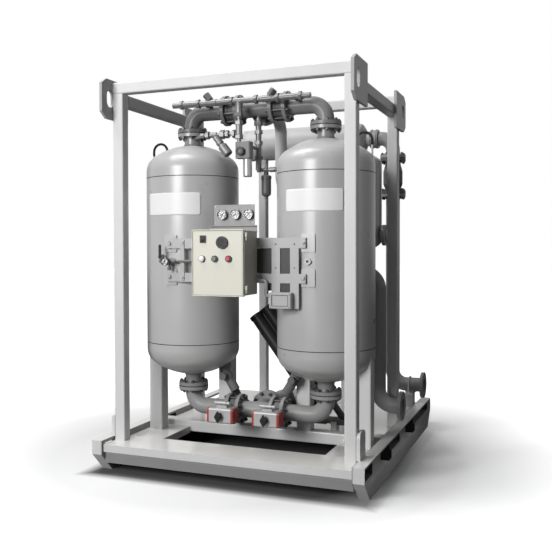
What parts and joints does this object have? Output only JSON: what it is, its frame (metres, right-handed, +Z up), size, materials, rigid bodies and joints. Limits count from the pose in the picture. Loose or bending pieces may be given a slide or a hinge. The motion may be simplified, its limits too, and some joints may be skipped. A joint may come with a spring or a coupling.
{
  "type": "desiccant air dryer",
  "caption": "Twin-tower regenerative desiccant air dryer on a sled skid inside a lifting frame, with valve headers, filters, purge piping, mufflers and a front control box.",
  "frame": {"origin": "on the floor under the middle of the skid", "axes": "+X to the side that carries the inlet and outlet flanges, +Y from the control box to the rear, +Z up"},
  "size_m": [1.86, 2.26, 2.63],
  "materials": {
    "frame_paint": "satin",
    "tower_paint": "satin",
    "pipe_paint": "satin",
    "valve_iron": "satin",
    "bright_steel": "satin",
    "drive_alloy": "satin",
    "cap_red": "gloss",
    "knob_black": "matte",
    "gasket_rubber": "matte",
    "bed_granules": "matte",
    "muffler_black": "satin",
    "box_grey": "satin",
    "door_cream": "satin",
    "fitting_dark": "satin",
    "lamp_white": "gloss",
    "button_green": "satin",
    "button_red": "satin",
    "bracket_steel": "satin",
    "gauge_white": "satin",
    "clear_glass": "gloss",
    "needle_black": "matte"
  },
  "bodies": {
    "skid_and_vessels": {"skid_left_rail": "frame_paint", "skid_right_rail": "frame_paint", "skid_front_beam": "frame_paint", "skid_middle_beam": "frame_paint", "skid_rear_beam": "frame_paint", "deck_plates": "frame_paint", "frame_posts": "frame_paint", "cross_top_rails": "frame_paint", "side_top_rails": "frame_paint", "lifting_lugs": "frame_paint", "post_gussets": "frame_paint", "pipe_supports": "frame_paint", "left_tower": "tower_paint", "right_tower": "tower_paint", "tower_legs": "tower_paint", "prefilter": "tower_paint", "after_filter": "tower_paint", "top_elbows": "pipe_paint", "top_tee": "pipe_paint", "bottom_elbows": "pipe_paint", "bottom_tee": "pipe_paint", "inlet_riser": "pipe_paint", "prefilter_outlet": "pipe_paint", "outlet_crossover": "pipe_paint", "outlet_elbow": "pipe_paint", "outlet_riser": "pipe_paint", "purge_line": "pipe_paint", "blowdown_line": "pipe_paint", "gauge_valve": "pipe_paint", "check_valves": "valve_iron", "butterfly_bodies": "valve_iron", "outlet_check_valve": "valve_iron", "purge_regulator": "valve_iron", "flange_studs": "bright_steel", "valve_actuators": "drive_alloy", "actuator_caps": "cap_red", "flange_gaskets": "gasket_rubber", "desiccant_beds": "bed_granules", "mufflers": "muffler_black", "control_box": "box_grey", "gauge_panel": "bracket_steel", "bracket_bars": "bracket_steel", "junction_box": "bracket_steel", "gauge_cases": "gauge_white", "gauge_lenses": "clear_glass"},
    "door": {"control_door": "door_cream", "door_fittings": "fitting_dark", "pilot_light": "lamp_white"},
    "rocker": {"rocker_switch": "knob_black"},
    "green_push": {"green_button": "button_green"},
    "red_push": {"red_button": "button_red"},
    "left_rotor": {"left_valve_disc": "bright_steel", "left_valve_knob": "knob_black"},
    "right_rotor": {"right_valve_disc": "bright_steel", "right_valve_knob": "knob_black"},
    "cock_lever": {"gauge_lever": "knob_black"},
    "left_pointer": {"left_needle": "needle_black"},
    "middle_pointer": {"middle_needle": "needle_black"},
    "right_pointer": {"right_needle": "needle_black"},
    "tower_pointer": {"tower_needle": "needle_black"}
  },
  "joints": [
    {"name": "door_hinge", "type": "hinge", "parent": "skid_and_vessels", "child": "door", "pos_m": [0.16, -1.053, 1.405], "axis": [0, 0, 1], "range_deg": [0, 110]},
    {"name": "rocker_pivot", "type": "hinge", "parent": "door", "child": "rocker", "pos_m": [-0.126, -1.074, 1.555], "axis": [1, 0, 0], "range_deg": [0, 20]},
    {"name": "green_travel", "type": "slide", "parent": "door", "child": "green_push", "axis": [0, 1, 0], "range_m": [0, 0.004], "stiffness_N_per_m": 800},
    {"name": "red_travel", "type": "slide", "parent": "door", "child": "red_push", "axis": [0, 1, 0], "range_m": [0, 0.004], "stiffness_N_per_m": 800},
    {"name": "left_valve_stem", "type": "hinge", "parent": "skid_and_vessels", "child": "left_rotor", "pos_m": [-0.165, -0.48, 0.364], "axis": [0, 1, 0], "range_deg": [0, 90]},
    {"name": "right_valve_stem", "type": "hinge", "parent": "skid_and_vessels", "child": "right_rotor", "pos_m": [0.165, -0.48, 0.364], "axis": [0, 1, 0], "range_deg": [0, 90]},
    {"name": "cock_stem", "type": "hinge", "parent": "skid_and_vessels", "child": "cock_lever", "pos_m": [-0.548, -0.858, 1.44], "axis": [0, -1, 0], "range_deg": [0, 90]},
    {"name": "left_gauge_spindle", "type": "hinge", "parent": "skid_and_vessels", "child": "left_pointer", "pos_m": [-0.095, -0.858, 1.718], "axis": [0, 1, 0], "range_deg": [0, 270], "stiffness_Nm_per_rad": 0.001},
    {"name": "middle_gauge_spindle", "type": "hinge", "parent": "skid_and_vessels", "child": "middle_pointer", "pos_m": [-0.002, -0.858, 1.718], "axis": [0, 1, 0], "range_deg": [0, 270], "stiffness_Nm_per_rad": 0.001},
    {"name": "right_gauge_spindle", "type": "hinge", "parent": "skid_and_vessels", "child": "right_pointer", "pos_m": [0.091, -0.858, 1.718], "axis": [0, 1, 0], "range_deg": [0, 270], "stiffness_Nm_per_rad": 0.001},
    {"name": "tower_gauge_spindle", "type": "hinge", "parent": "skid_and_vessels", "child": "tower_pointer", "pos_m": [-0.505, -0.892, 1.412], "axis": [0, 1, 0], "range_deg": [0, 270], "stiffness_Nm_per_rad": 0.001}
  ]
}
